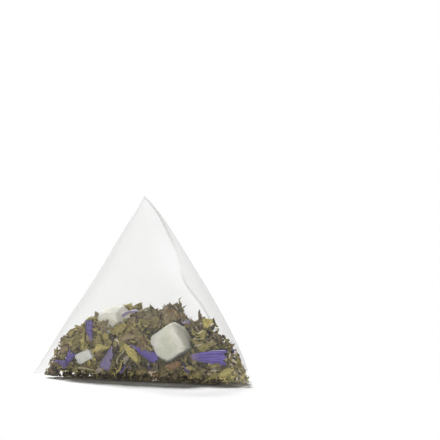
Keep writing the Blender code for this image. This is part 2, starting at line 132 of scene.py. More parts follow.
class TeaBagHerb(bpy.types.PropertyGroup):
    """Amounts, sizes and colours of the herb."""
    leaf_count: count("Leaf bits", "Broken leaf bits in the loose layer", 4600)
    crumb_count: count("Crumbs", "Small crumbs between the leaf bits", 3800)
    corner_count: count("Corner crumbs", "Fine crumbs in the two front corners", 420)
    seam_count: count("Seam crumbs", "Fine crumbs that lie in the fold behind the front seal", 2200)
    leaf_length: length("Leaf bit length", "Usual length of a leaf bit", 3.8)
    leaf_thickness: length("Leaf thickness", "Thickness of a dried leaf", 0.13)
    layer: length("Layer depth", "How deep the loose layer goes", 3.4)
    crest: length("Crest", "Height of the heap's crest", 15.8)
    olive: colour("Olive", "Most of the leaf", 128, 117, 67)
    grey: colour("Grey brown", "Undersides and older leaf", 123, 108, 79)
    yellow: colour("Yellow green", "Fresh leaf bits", 162, 149, 88)
    rust: colour("Rust", "Brown bits", 114, 88, 56)
    dark: colour("Dark", "The darkest bits", 60, 49, 33)
    pale: colour("Pale", "Cream and pinkish bits", 196, 180, 158)


class TeaBagTreats(bpy.types.PropertyGroup):
    """Colours of the petals, the fruit and the stalks."""
    petal: colour("Petal", "Violet-blue of the petals", 130, 111, 200)
    petal_base: colour("Petal base", "Paler base of the petals", 158, 142, 176)
    petal_grey: colour("Petal grey", "Older, greyer petals", 128, 114, 168)
    petal_pale: colour("Petal pale", "Palest petals", 204, 192, 220)
    fruit: colour("Fruit", "Pale dried fruit", 225, 222, 211)
    stalk: colour("Stalk", "Thin pale stalks", 186, 178, 132)


# Shader building


class Value:
    """A shader socket that takes part in arithmetic."""

    def __init__(self, finish, socket):
        self.finish = finish
        self.socket = socket

    def maths(self, operation, *values):
        return self.finish.node("ShaderNodeMath", {"operation": operation}, dict(enumerate(values)))

    def __add__(self, other):
        return self.maths("ADD", self, other)

    def __radd__(self, other):
        return self.maths("ADD", other, self)

    def __sub__(self, other):
        return self.maths("SUBTRACT", self, other)

    def __rsub__(self, other):
        return self.maths("SUBTRACT", other, self)

    def __mul__(self, other):
        return self.maths("MULTIPLY", self, other)

    def __rmul__(self, other):
        return self.maths("MULTIPLY", other, self)

    def __truediv__(self, other):
        return self.maths("DIVIDE", self, other)

    def __rtruediv__(self, other):
        return self.maths("DIVIDE", other, self)

    def __pow__(self, other):
        return self.maths("POWER", self, other)

    def __rpow__(self, other):
        return self.maths("POWER", other, self)

    def __abs__(self):
        return self.maths("ABSOLUTE", self)

    def wave(self):
        """The sine, moved and scaled to run from 0 to 1."""
        return self.maths("SINE", self) * 0.5 + 0.5

    def lowest(self, other):
        return self.maths("MINIMUM", self, other)

    def highest(self, other):
        return self.maths("MAXIMUM", self, other)

    def between(self, low, high):
        """0 below low, 1 over high and smooth between them."""
        return self.finish.node("ShaderNodeMapRange", {"interpolation_type": "SMOOTHSTEP"},
                                {"Value": self, "From Min": low, "From Max": high})


class Finish:
    """A material or the world, and its nodes."""

    # The Mix node's sockets for two colours, by number, because some of its sockets share a name
    mix_amount, mix_low, mix_high, mix_result = 0, 6, 7, 2

    def __init__(self, owner, end="ShaderNodeOutputMaterial"):
        owner.use_nodes = True
        self.owner = owner
        self.end = end
        self.tree = owner.node_tree
        self.tree.nodes.clear()

    def node(self, kind, settings=None, sockets=None, output=0):
        """Adds a node with its settings first, then its sockets' values or links, and returns an output."""
        made = self.tree.nodes.new(kind)
        for name, value in (settings or {}).items():
            if name == "stops":
                self.set_stops(made.color_ramp, value)
            else:
                setattr(made, name, value)
        for name, value in (sockets or {}).items():
            self.feed(made.inputs[name], value)
        return Value(self, made.outputs[output]) if made.outputs else None

    def feed(self, socket, value):
        """Links a socket to a value or sets it."""
        if isinstance(value, Value):
            self.tree.links.new(value.socket, socket)
        elif socket.type == "RGBA":
            socket.default_value = (*tuple(value)[:3], 1.0)
        else:
            socket.default_value = value

    @staticmethod
    def set_stops(ramp, stops):
        """Sets a colour ramp's stops from (place, colour) pairs."""
        while len(ramp.elements) < len(stops):
            ramp.elements.new(0.5)
        for element, (place, tone) in zip(ramp.elements, stops):
            element.position = place
            element.color = (*tuple(tone)[:3], 1.0)

    def ramp(self, value, stops):
        return self.node("ShaderNodeValToRGB", {"stops": stops}, {"Fac": value})

    def mix(self, amount, low, high, blend="MIX"):
        """Mixes two colours."""
        settings = {"data_type": "RGBA", "blend_type": blend, "clamp_factor": True}
        sockets = {self.mix_amount: amount, self.mix_low: low, self.mix_high: high}
        return self.node("ShaderNodeMix", settings, sockets, self.mix_result)

    def attribute(self, name, output="Fac"):
        """A value kept on the mesh."""
        return self.node("ShaderNodeAttribute", {"attribute_name": name}, output=output)

    def parts(self, name):
        """The three parts of a vector kept on the mesh."""
        vector = self.attribute(name, "Vector")
        return [self.node("ShaderNodeSeparateXYZ", None, {"Vector": vector}, part) for part in "XYZ"]

    def noise(self, features, detail=2.0, rough=0.5, stretch=None):
        """Noise over the object's own space, with this many features to a metre."""
        place = self.node("ShaderNodeTexCoord", output="Object")
        if stretch:
            place = self.node("ShaderNodeVectorMath", {"operation": "MULTIPLY"}, {0: place, 1: stretch})
        sockets = {"Vector": place, "Scale": features, "Detail": detail, "Roughness": rough}
        return self.node("ShaderNodeTexNoise", None, sockets, "Fac")

    def bump(self, height, depth, strength):
        """A bump this many millimetres deep."""
        return self.node("ShaderNodeBump", None,
                         {"Height": height, "Distance": depth * MM, "Strength": strength})

    def light_path(self, ray):
        """1 for rays of this kind, such as Is Camera Ray."""
        return self.node("ShaderNodeLightPath", output=ray)

    def close(self, shader):
        """Sends a shader to the output, and gives back the material or the world."""
        self.node(self.end, None, {"Surface": shader})
        return self.owner

    def surface(self, **sockets):
        """Closes with a Principled surface. Underscores in its sockets' names stand for spaces."""
        named = {name.replace("_", " "): value for name, value in sockets.items()}
        return self.close(self.node("ShaderNodeBsdfPrincipled", None, named))


def material(name):
    """The finish of a new material."""
    return Finish(bpy.data.materials.new(name))


def shade(tone, times, more=0.0):
    """A colour made darker or lighter, up to white."""
    return [min(channel * times + more, 1.0) for channel in tone]


def film_finish(film):
    """Translucent woven mesh: fine threads both ways, denser and lighter with a painted sheen where it is seen
    at a slant.
    """
    most_cover = 0.17
    steepest = 0.07
    usual_thread = 0.6
    finish = material("translucent_mesh")
    girth, slant, density = finish.parts("film")
    turn = 2 * math.pi / film.weave_pitch
    warp = (girth * turn).wave() ** 2.0
    weft = (slant * turn).wave() ** 2.0
    threads = warp.highest(weft)
    cloud = finish.noise(140.0)
    sheen = finish.node("ShaderNodeLayerWeight", None, {"Blend": 0.5}, "Facing")
    apart = (1.0 - sheen) * (threads - usual_thread)
    cover = (1.02 + 0.5 * apart) * (0.86 + 0.28 * cloud) * film.cover
    layers = (1.0 + density) / (1.0 - sheen).highest(steepest)
    alpha = (1.0 - (1.0 - cover) ** layers).lowest(most_cover)
    # Painted sheen: the threads' colour turns paler where the mesh is seen at a slant, standing in for
    # backlight through it
    tone = finish.mix(sheen * sheen, film.tone, film.painted_sheen)
    bump = finish.bump(cloud, depth=0.1, strength=0.1)
    return finish.surface(Base_Color=tone, Alpha=alpha, Roughness=0.45, Normal=bump)


def leaf_finish(name, tone, under):
    """Dried leaf: mottled, with a greyer underside, pale ribs and frayed edges lightened by a painted
    highlight.
    """
    finish = material(name)
    along, across, tint = finish.parts("leaf")
    low = shade(tone, 0.24)
    high = shade(tone, 1.6)
    mottle = finish.noise(900.0, detail=4.0, rough=0.6)
    broad = finish.noise(260.0)
    level = tint * 0.62 + mottle * 0.34 + broad * 0.26 - 0.12
    look = finish.ramp(level, [(0.12, low), (0.5, tone), (0.9, high)])
    look = finish.mix(finish.attribute("side") * 0.6, look, under)
    rib = 1.0 - abs(across).between(0.015, 0.055)
    side_veins = (abs(across) * 22.0 - along * 26.0).wave().between(0.80, 0.98) * 0.6
    veins = rib.highest(side_veins)
    look = finish.mix(veins * 0.26, look, shade(high, 1.7, 0.03))
    # Painted highlight: the frayed edges are lightened, as if light caught them
    edge = abs(across).between(0.38, 0.5) * mottle.between(0.4, 0.6)
    look = finish.mix(edge * 0.6, look, shade(high, 1.35, 0.02))
    bump = finish.bump(mottle * 0.6 + veins * 0.5, depth=0.15, strength=0.9)
    return finish.surface(Base_Color=look, Roughness=0.78, Normal=bump)


def leaf_finishes(herb):
    """The leaf finishes by look, each made once."""
    finishes = {}
    for look in LOOK_SHARES:
        name = "leaf_" + look
        tone = getattr(herb, look)
        under = [0.5 * channel + 0.5 * grey for channel, grey in zip(tone, herb.grey)]
        finishes[look] = bpy.data.materials.get(name) or leaf_finish(name, tone, under)
    return finishes


def petal_finish(treats):
    """Dried floret: fine darker lines lengthwise and a pale base."""
    line_tone = (0.38, 0.36, 0.45)
    white = (1.0, 1.0, 1.0)
    finish = material("blue_petal")
    along, across, tint = finish.parts("leaf")
    mottle = finish.noise(700.0, detail=3.0)
    ridges = (across * 62.0 + mottle * 3.0).wave().between(0.25, 0.95)
    tone = finish.ramp(tint, [(0.0, treats.petal), (0.6, treats.petal_grey), (1.0, treats.petal_pale)])
    tone = finish.mix(1.0, tone, finish.mix(ridges, line_tone, white), "MULTIPLY")
    base = (1.0 - along.between(-0.5, -0.12)) * (0.55 + 0.45 * mottle)
    tone = finish.mix(base, tone, treats.petal_base)
    bump = finish.bump(ridges, depth=0.08, strength=0.8)
    return finish.surface(Base_Color=tone, Roughness=0.6, Normal=bump)


def stalk_finish(name, tone):
    """Thin stalk: lengthwise streaks and small darker knots."""
    knot_tone = (0.07, 0.0525, 0.028)
    finish = material(name)
    streaks = finish.noise(1500.0, detail=3.0, stretch=(1.0, 1.0, 0.3))
    knots = finish.noise(420.0, detail=1.0).between(0.58, 0.7)
    look = finish.mix(streaks.between(0.3, 0.7), shade(tone, 0.6), tone)
    look = finish.mix(knots * 0.5, look, knot_tone)
    bump = finish.bump(streaks, depth=0.06, strength=0.6)
    return finish.surface(Base_Color=look, Roughness=0.7, Normal=bump)


def fruit_finish(treats):
    """Pale candied fruit: slightly see-through, with white crystals and greener hollows."""
    finish = material("dried_fruit")
    broad = finish.noise(210.0, detail=3.0)
    grains = finish.noise(1300.0, detail=3.0)
    hollow = [channel * part for channel, part in zip(treats.fruit, (0.80, 0.83, 0.76))]
    tone = finish.mix(broad.between(0.35, 0.65), hollow, treats.fruit)
    tone = finish.mix(grains.between(0.5, 0.75) * 0.6, tone, shade(treats.fruit, 1.12))
    bump = finish.bump(grains * 0.4 + broad, depth=0.25, strength=0.6)
    return finish.surface(Base_Color=tone, Roughness=0.85 - 0.15 * grains, Normal=bump,
                          Specular_IOR_Level=0.2, Subsurface_Weight=0.85, Subsurface_Scale=1.0,
                          Subsurface_Radius=(4.0 * MM, 3.8 * MM, 3.2 * MM))


def crumb_painted_shade_finish(herb):
    """The heap's hidden heart: fine-cut herb, painted darker as the shade in the gaps between the leaf bits.
    """
    finish = material("cut_herb")
    grains = finish.noise(1100.0, detail=5.0, rough=0.65)
    broad = finish.noise(320.0)
    tone = finish.ramp(grains * 0.7 + broad * 0.3, [(0.3, herb.dark), (0.5, herb.olive), (0.72, herb.grey)])
    # Painted shade: the herb's colour is darkened much further, for the shade in the gaps between the leaf
    # bits
    tone = finish.mix(0.6, tone, shade(herb.dark, 0.35))
    bump = finish.bump(grains, depth=0.6, strength=1.0)
    return finish.surface(Base_Color=tone, Roughness=0.9, Normal=bump)


# The bag's form in numbers


def fade(values, start, end):
    """0 at start, 1 at end and even between them."""
    return ((values - start) / (end - start)).clip(0, 1)


def near(distance, reach):
    """1 at no distance, and soon 0 past this reach."""
    return np.exp(-((distance / reach) ** 2))


def unit(vectors):
    """Vectors of length one."""
    return vectors / np.maximum(np.linalg.norm(vectors, axis=-1, keepdims=True), 1e-12)


def to_right(points):
    """How far points lie to the right of the bag's middle, as it is looked at."""
    return points[..., 0] * ACROSS.x + points[..., 1] * ACROSS.y


def to_back(points):
    """How far points lie behind the bag's middle, as it is looked at."""
    return points[..., 0] * SIGHT.x + points[..., 1] * SIGHT.y


def to_world(across, aside, along):
    """Points of the tube, from its own axes to the standing bag's."""
    return np.stack([across, SEAL_Y - FOLD_SINE * aside + FOLD_COSINE * along,
                     TIP_LIFT + FOLD_COSINE * aside + FOLD_SINE * along], axis=-1)


def along_tube(points):
    """How far points lie on the way from the front seal to the top one, as a share of it."""
    return (FOLD_COSINE * (points[..., 1] - SEAL_Y) + FOLD_SINE * (points[..., 2] - TIP_LIFT)) / SEAL_SPACING


def section(t):
    """Half width, half height and corner radius of the tube between its seals."""
    radius = np.minimum(EDGE_RADIUS * np.sin(np.pi * t), ROUNDEST * SEAL_LENGTH * np.minimum(t, 1 - t))
    saved = CORNER_SAVING * radius
    return (SEAL_LENGTH * (1 - t) + saved) / 2, (SEAL_LENGTH * t + saved) / 2, radius


def section_distance(across, aside, t):
    """Distance outside the tube's section."""
    half_width, half_height, radius = section(t)
    past_width = across - half_width + radius
    past_height = aside - half_height + radius
    outside = np.hypot(np.maximum(past_width, 0), np.maximum(past_height, 0))
    return outside + np.minimum(np.maximum(past_width, past_height), 0) - radius


def wall_distance(points):
    """Distance of points outside the mesh, less than nothing inside it."""
    table_gap = 0.1 * MM
    step = 0.02
    margin = 0.001
    across = np.abs(points[..., 0])
    aside = np.abs(FOLD_COSINE * (points[..., 2] - TIP_LIFT) - FOLD_SINE * (points[..., 1] - SEAL_Y))
    t = np.clip(along_tube(points), margin, 1 - step - margin)
    here = section_distance(across, aside, t)
    slope = (section_distance(across, aside, t + step) - here) / (step * SEAL_SPACING)
    return np.maximum(here / np.hypot(1, slope), table_gap - points[..., 2])


def seal_sag(points, t, film):
    """How the herb's weight moves points near the front seal: down, and forward, most in the middle."""
    down_reach = 0.14
    forward_reach = 0.22
    flatness = 6
    middle = 1 - np.abs(points[..., 0] / (SEAL_LENGTH / 2)).clip(0, 1) ** flatness
    down = film.sag * middle * near(t, down_reach)
    forward = film.bulge * middle * near(t, forward_reach)
    return np.stack([0 * down, -forward, -down], axis=-1)


def heap_top(points, crest):
    """Height of the heap over each point: a bumpy ridge that also rises to hold every loose piece."""
    right_end, right_corner = 1 * MM, 13 * MM
    left_end, left_corner = -11 * MM, -26 * MM
    ridge_place, ridge_half = -2 * MM, 3 * MM
    filled_from, filled_to = 8 * MM, 4.5 * MM
    bump_height = 0.5 * MM
    held_reach, held_slope = 2.3 * MM, 2.0
    across = to_right(points)
    depth = to_back(points)
    bumps = np.sin(across * 640 + 1.3) * np.cos(depth * 520 + 0.4) + np.sin(across * 1310 + depth * 700)
    slopes = ((0.72, across - right_end), (0.30, left_end - across),
              (0.40, np.abs(depth - ridge_place) - ridge_half),
              (0.60, across - right_corner), (2.0, left_corner - across))
    fall = sum(steepness * np.maximum(past, 0) for steepness, past in slopes)
    top = crest - fall + bumps * bump_height
    top = np.maximum(top, np.where(across > filled_from, filled_to, 0))
    for x, y, height in held_places(crest):
        away = np.hypot(points[..., 0] - x, points[..., 1] - y)
        top = np.maximum(top, height - held_slope * np.maximum(away - held_reach, 0))
    return top


@functools.cache
def held_places(crest):
    """Where the herb rises to hold the loose pieces, and how high."""
    cover = 0.3 * MM
    places = []
    for node in nodes_of("leaf") + nodes_of("petal") + nodes_of("stalk"):
        x, y, z = points_of(node).mean(axis=0)
        places.append((x, y, z - let_down(node, crest) + cover))
    return places


def herb_distance(points, crest):
    """Distance of points outside the herb, which fills the bag up to its heap's top."""
    steepness = 0.9
    return np.maximum(wall_distance(points), (points[..., 2] - heap_top(points, crest)) * steepness)


def outward_ways(points, crest):
    """The way out of the herb at each point."""
    step = 0.2 * MM
    moves = np.eye(3) * step
    ways = [herb_distance(points + move, crest) - herb_distance(points - move, crest) for move in moves]
    return unit(np.stack(ways, axis=-1))


# The frame's pieces


def points_of(node):
    """Points of a CAD piece."""
    return np.array([vertex.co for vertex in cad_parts[node].data.vertices])


def nodes_of(kind):
    """Names of the CAD pieces of one kind, in order."""
    return sorted(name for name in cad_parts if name.startswith(kind + "_") and name[-1].isdigit())


def top_of(node):
    """Height of the top of a CAD piece."""
    return points_of(node)[:, 2].max()


def let_down(node, crest):
    """How far a piece that stands out over the crest is let down into the heap."""
    return 0.6 * max(top_of(node) - crest, 0)


def tree_of(nodes):
    """A search tree of these CAD pieces."""
    points, faces = [], []
    for node in nodes:
        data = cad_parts[node].data
        start = len(points)
        points += [vertex.co.copy() for vertex in data.vertices]
        faces += [[start + index for index in polygon.vertices] for polygon in data.polygons]
    return BVHTree.FromPolygons(points, faces)


class NodeForm:
    """Place, axes and bend of a thin CAD piece: along, across and out of the heap."""

    heap_heart = np.array([-2.5, -3.0, 5.5]) * MM

    def __init__(self, node):
        points = points_of(node)
        self.centre = points.mean(axis=0)
        spread = np.linalg.svd(points - self.centre, full_matrices=False)[2]
        along, out = spread[0], spread[2]
        if out @ (self.centre - self.heap_heart) < 0:
            out = -out
        local = (points - self.centre) @ np.stack([along, np.cross(out, along), out]).T
        half = local[:, 0].max() * 0.5
        ends = [np.ptp(local[local[:, 0] * sign > half][:, 1]) for sign in (-1, 1)]
        if ends[0] > ends[1]:
            along = -along
        self.axes = np.stack([along, np.cross(out, along), out])
        local = (points - self.centre) @ self.axes.T
        self.low, self.high = local.min(axis=0), local.max(axis=0)
        a, b = local[:, 0], local[:, 1]
        terms = np.stack([np.ones_like(a), a, b, a * a, a * b, b * b], axis=1)
        self.bend = np.linalg.lstsq(terms, local[:, 2], rcond=None)[0]
        self.bow = np.polyfit(a, b, 2)

    def length(self):
        return self.high[0] - self.low[0]

    def width(self):
        return self.high[1] - self.low[1]

    def height(self, a, b):
        """Height of the piece's middle surface at a place along and across it."""
        return (self.bend[0] + self.bend[1] * a + self.bend[2] * b + self.bend[3] * a * a
                + self.bend[4] * a * b + self.bend[5] * b * b)

    def place(self, points):
        """Points in the piece's own axes, in the frame's."""
        return self.centre + points @ self.axes

    def flake(self, rng, longer, wider, rows, columns):
        """A flat flake this much longer and wider than the piece, to be torn and bent."""
        lengths = np.array([self.length() * longer])
        widths = np.array([self.width() * wider])
        return Flakes(rng, lengths, widths, rows, columns)


# Meshes


def new_piece(name, points, faces, finish, slot):
    """A piece of the bag that rides on its frame."""
    data = bpy.data.meshes.new(name)
    data.from_pydata([tuple(point) for point in points], [], [tuple(face) for face in faces])
    data.update()
    data.shade_smooth()
    data.materials.append(finish)
    piece = bpy.data.objects.new(name, data)
    bpy.context.scene.collection.objects.link(piece)
    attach(piece, "root")
    return piece


def keep(piece, name, values):
    """Keeps a number or a vector for each point on the mesh, for its finish."""
    kind, field = ("FLOAT_VECTOR", "vector") if values.ndim > 1 else ("FLOAT", "value")
    layer = piece.data.attributes.new(name, kind, "POINT")
    layer.data.foreach_set(field, values.astype(np.float32).ravel())


def open_solid(node):
    """A copy of a CAD piece's mesh to work on, with its doubled points merged."""
    mesh = bmesh.new()
    mesh.from_mesh(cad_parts[node].data)
    bmesh.ops.remove_doubles(mesh, verts=mesh.verts, dist=0.01 * MM)
    return mesh


def close_solid(mesh):
    """Points and faces of a mesh that was worked on, which is then freed."""
    mesh.verts.index_update()
    points = np.array([vertex.co for vertex in mesh.verts])
    faces = [[vertex.index for vertex in face.verts] for face in mesh.faces]
    mesh.free()
    return points, faces


def tube_faces(rings, around, start=0):
    """Faces of an open tube, whose rings follow each other from this point on."""
    faces = []
    for ring in range(rings - 1):
        for side in range(around):
            here = start + ring * around + side
            after = start + ring * around + (side + 1) % around
            faces.append((here, after, after + around, here + around))
    return faces


def plate_faces(rows, columns):
    """Faces of a closed thin plate: a grid of points, its back and the rim between them."""
    faces = []
    size = rows * columns
    for row in range(rows - 1):
        for column in range(columns - 1):
            here = row * columns + column
            faces.append((here, here + columns, here + columns + 1, here + 1))
            faces.append((size + here, size + here + 1, size + here + columns + 1, size + here + columns))
    edge = list(range(columns))
    edge += [row * columns + columns - 1 for row in range(1, rows)]
    edge += [(rows - 1) * columns + column for column in range(columns - 2, -1, -1)]
    edge += [row * columns for row in range(rows - 2, 0, -1)]
    for here, after in zip(edge, edge[1:] + edge[:1]):
        faces.append((here, after, size + after, size + here))
    return np.array(faces)


class Flakes:
    """Many thin crumpled flakes worked out together, each in its own axes: along, across and out."""

    def __init__(self, rng, lengths, widths, rows, columns):
        self.rng = rng
        self.number, self.rows, self.columns = len(lengths), rows, columns
        self.lengths, self.widths = lengths[:, None, None], widths[:, None, None]
        size = (self.number, rows, columns)
        self.u = np.broadcast_to(np.linspace(-0.5, 0.5, rows)[None, :, None], size)
        self.v = np.broadcast_to(np.linspace(-0.5, 0.5, columns)[None, None, :], size)
        self.x = self.u * self.lengths
        self.y = self.v * self.widths
        self.z = np.zeros_like(self.x)

    def draw(self, low, high):
        """One random number for each flake."""
        return self.rng.uniform(low, high, (self.number, 1, 1))

    def torn(self, roundness, ragged):
        """Rounds the ends and tears the edges."""
        full = np.cos(np.pi * self.u * 0.9) ** (roundness * self.draw(0.5, 1.5))
        tear = 1 - ragged * self.rng.uniform(0, 1, (self.number, self.rows, 2))
        sides = np.where(self.v < 0, tear[:, :, :1], tear[:, :, 1:])
        self.y = self.y * full * sides
        ends = 1 - 0.5 * ragged * self.rng.uniform(0, 1, (self.number, 2, self.columns))
        stretch = np.where(self.u < 0, ends[:, :1, :], ends[:, 1:, :])
        self.x = self.x * stretch + self.v * self.widths * self.draw(-0.5, 0.5)

    def petal(self, base=0.25, teeth=3.0, tooth_depth=0.14):
        """Narrows one end to a claw and cuts teeth in the other."""
        full = base + (1 - base) * np.clip(self.u + 0.5, 0, 1) ** 1.1
        self.y = self.y * full
        tooth = np.abs(np.sin(self.v * np.pi * teeth + 1.57)) ** 0.7
        self.x = self.x + np.clip(self.u * 2, 0, 1) ** 3 * (tooth - 0.5) * tooth_depth * self.lengths

    def bend(self, places, sizes, low, high):
        """Bends the flakes either way by an angle in this range, and returns the places' new values."""
        never_straight = 1e-4
        angle = self.draw(low, high) * self.rng.choice([-1, 1], (self.number, 1, 1)) + never_straight
        turn = places / sizes * angle
        self.z = self.z + (1 - np.cos(turn)) / angle * sizes
        return np.sin(turn) / angle * sizes

    def roll(self, low, high):
        """Bends the flakes about their length."""
        self.y = self.bend(self.y, self.widths, low, high)

    def arch(self, low, high):
        """Bends the flakes along their length."""
        self.x = self.bend(self.x, self.lengths, low, high)

    def crumple(self, depth, waves):
        """Crumples the flakes by this share of their width."""
        for wave in range(waves):
            way = self.draw(0, 2 * math.pi)
            rate = self.draw(0.6, 1.5) * (wave + 1) * 2 * math.pi / self.lengths
            amount = depth * self.widths * self.draw(0.3, 1.0) / (wave + 1)
            phase = (self.x * np.cos(way) + self.y * np.sin(way)) * rate + self.draw(0, 2 * math.pi)
            self.z = self.z + amount * np.sin(phase)

    def twist(self, most):
        """Turns the ends against each other."""
        angle = self.draw(-most, most) * self.u
        self.y, self.z = (self.y * np.cos(angle) - self.z * np.sin(angle),
                          self.y * np.sin(angle) + self.z * np.cos(angle))

    def shells(self, thickness):
        """Front and back points, the back ones after the front ones. The rim is half as thick."""
        points = np.stack([self.x, self.y, self.z], axis=-1)
        points = points - points.mean(axis=(1, 2), keepdims=True)
        along, beside = np.gradient(points, axis=1), np.gradient(points, axis=2)
        normals = unit(np.cross(along, beside))
        thin = np.ones((1, self.rows, self.columns, 1))
        thin[:, [0, -1]] = 0.5
        thin[:, :, [0, -1]] = 0.5
        half = normals * thin * thickness / 2
        both = np.stack([points + half, points - half], axis=1)
        return both.reshape(self.number, -1, 3)

    def marks(self, tints):
        """Place along and across each flake, and its tint, for the finish."""
        values = np.stack([self.u, self.v, np.broadcast_to(tints[:, None, None], self.u.shape)], axis=-1)
        both = np.stack([values, values], axis=1)
        return both.reshape(self.number, -1, 3)

    def sides(self):
        """0 on the front of each flake and 1 on its back."""
        front = np.zeros((self.number, self.rows * self.columns))
        return np.concatenate([front, front + 1], axis=1)


def axes_for(rng, ways, tilt):
    """Axes for flakes that lie across these ways, tilted at random."""
    out = unit(ways + tilt * rng.normal(0, 1, ways.shape))
    along = unit(np.cross(out, rng.normal(0, 1, ways.shape)))
    return np.stack([along, np.cross(out, along), out], axis=1)


def settle_inside(points, ways):
    """Moves each flake in until all of it is clear of the mesh."""
    tries = 3
    overshoot = 1.05
    for _ in range(tries):
        over = wall_distance(points).max(axis=1) + FLAKE_CLEARANCE
        points = points - np.maximum(over, 0)[:, None, None] * ways[:, None, :] * overshoot
    return points


def flake_piece(name, batches, finish, slot):
    """One piece from several batches of flakes: (points, faces of one flake, marks, sides)."""
    points, faces, marks, sides = [], [], [], []
    start = 0
    for shapes, plate, mark, side in batches:
        number, size = shapes.shape[:2]
        points.append(shapes.reshape(-1, 3))
        marks.append(mark.reshape(-1, 3))
        sides.append(side.reshape(-1))
        offsets = start + size * np.arange(number)[:, None, None]
        faces.append((plate[None] + offsets).reshape(-1, 4))
        start += number * size
    piece = new_piece(name, np.concatenate(points), np.concatenate(faces), finish, slot)
    keep(piece, "leaf", np.concatenate(marks))
    keep(piece, "side", np.concatenate(sides))
    return piece


class OBJECT_OT_tea_bag_film(bpy.types.Operator):
    """Makes the bag of woven mesh with its two welded seals"""
    bl_idname = "object.tea_bag_film"
    bl_label = "Mesh bag"

    rings = 120
    columns = 240
    corner_steps = 25
    weld_start = 0.0016
    weld_gap = 0.04 * MM
    table_gap = 0.05 * MM

    def girth_ring(self, t):
        """Even points round the tube's girth, from the middle of its base."""
        half_width, half_height, radius = (float(value) for value in section(t))
        corners = []
        for quarter in range(4):
            side = 1 if quarter in (0, 3) else -1
            top = 1 if quarter in (0, 1) else -1
            angles = math.pi / 2 * (quarter + np.linspace(0, 1, self.corner_steps))
            corners.append(np.stack([side * (half_width - radius) + radius * np.cos(angles),
                                     top * (half_height - radius) + radius * np.sin(angles)], axis=1))
        start = np.array([[0.0, -half_height]])
        loop = np.concatenate([start, *corners[3:], *corners[:3], start])
        gone = np.concatenate([[0], np.cumsum(np.linalg.norm(np.diff(loop, axis=0), axis=1))])
        wanted = gone[-1] * np.arange(self.columns) / self.columns
        return np.stack([np.interp(wanted, gone, loop[:, axis]) for axis in (0, 1)], axis=1)

    def tube(self, film):
        """Rows of points from fin to fin, and for each row its share of the way and 1 where it is welded."""
        rows, marks = [], []
        for ring in range(self.rings + 1):
            eased = 0.5 - 0.5 * math.cos(math.pi * ring / self.rings)
            t = self.weld_start + (1 - 2 * self.weld_start) * eased
            girth = self.girth_ring(t)
            rows.append(to_world(girth[:, 0], girth[:, 1], np.full(self.columns, t * SEAL_SPACING)))
            marks.append((t, 0.0))
        front = self.girth_ring(self.weld_start)
        top = self.girth_ring(1 - self.weld_start)
        for share in (0.0, 0.5, 1.0):
            along = np.full(self.columns, -film.fin_width * share)
            rows.insert(0, to_world(front[:, 0], np.sign(front[:, 1]) * self.weld_gap, along))
            marks.insert(0, (0.0, 1.0))
            along = np.full(self.columns, SEAL_SPACING + film.fin_width * share)
            rows.append(to_world(np.sign(top[:, 0]) * self.weld_gap, top[:, 1], along))
            marks.append((1.0, 1.0))
        return np.stack(rows), marks

    def wrinkle(self, points, marks, depth):
        """Soft wrinkles near the seals, outwards so that none goes into the herb, that fade away high up."""
        wrinkle_reach = 0.13
        seal_room = 0.06
        no_height, full_height = 34 * MM, 22 * MM
        girth = np.arange(self.columns) / self.columns * 2 * math.pi
        inner = points.mean(axis=1, keepdims=True)
        for row, (t, weld) in enumerate(marks):
            if weld:
                continue
            from_seal = min(t, 1 - t)
            room = min(from_seal / seal_room, 1.0)
            waves = (np.sin(girth * 9 + 4 * t), np.sin(girth * 14 - 7 * t + 1.0), np.sin(girth * 23 + 2.0))
            amount = depth * near(from_seal, wrinkle_reach) * room * (0.5 + 0.5 * sum(waves) / len(waves))
            amount = amount * fade(points[row, :, 2], no_height, full_height)
            points[row] += unit(points[row] - inner[row]) * amount[:, None]
        return points

    def settle(self, points, marks, film):
        """Lets the front seal sag, waves the top one, swells the left side and bends the top corner over."""
        wave_reach = 0.16
        wave_half = 5 * MM
        for row, (t, _) in enumerate(marks):
            points[row] += seal_sag(points[row], t, film)
            wave = film.seal_wave * near(1 - t, wave_reach)
            wave = wave * near(points[row, :, 2] - film.wave_height, wave_half)
            points[row, :, :2] -= wave[:, None] * FLAT_ACROSS
        swell_from = -7 * MM
        bag_half, bag_height = 26 * MM, 44 * MM
        up = points[..., 2]
        half = bag_half * (1 - up / bag_height) + 1 * MM
        leftness = fade(to_right(points), swell_from, swell_from - half) ** 1.5
        swell = film.left_swell * leftness * fade(up, 3 * MM, 15 * MM) * fade(up, 43 * MM, 37 * MM)
        points[..., :2] -= swell[..., None] * FLAT_ACROSS
        sideways = 0.65
        high = fade(up, 37 * MM, 45.5 * MM) ** 2
        points[..., 2] -= film.tip_bend * high
        points[..., :2] -= film.tip_bend * sideways * high[..., None] * FLAT_ACROSS
        return points

    def film_marks(self, points, marks, film):
        """Place round and along the tube and how dense the mesh looks, for its finish."""
        values = np.zeros((*points.shape[:2], 3))
        values[..., 0] = 2 * SEAL_LENGTH * np.arange(self.columns) / self.columns
        for row, (t, weld) in enumerate(marks):
            up = points[row, :, 2]
            low = fade(up, 26 * MM, 20 * MM)
            crease = 0.35 * near(1 - t, 0.2) - 0.75 * near(1 - t, 0.04)
            bright_seal = near(1 - t, 0.10) * (1 - low) * np.maximum(fade(up, 38 * MM, 30 * MM), 0.3)
            near_table = fade(up, 4 * MM, 1 * MM) * (t < 0.15)
            near_table *= fade(np.abs(points[row, :, 0]), 24 * MM, 21 * MM)
            pressed = fade(up, 17 * MM, 12 * MM) * max(1 - t / 0.6, 0)
            values[row, :, 1] = t * SLANT + (row if weld else 0) * film.fin_width / 2
            values[row, :, 2] = crease * low - 0.9 * bright_seal - 0.5 * near_table - 0.35 * pressed
        return values.reshape(-1, 3)

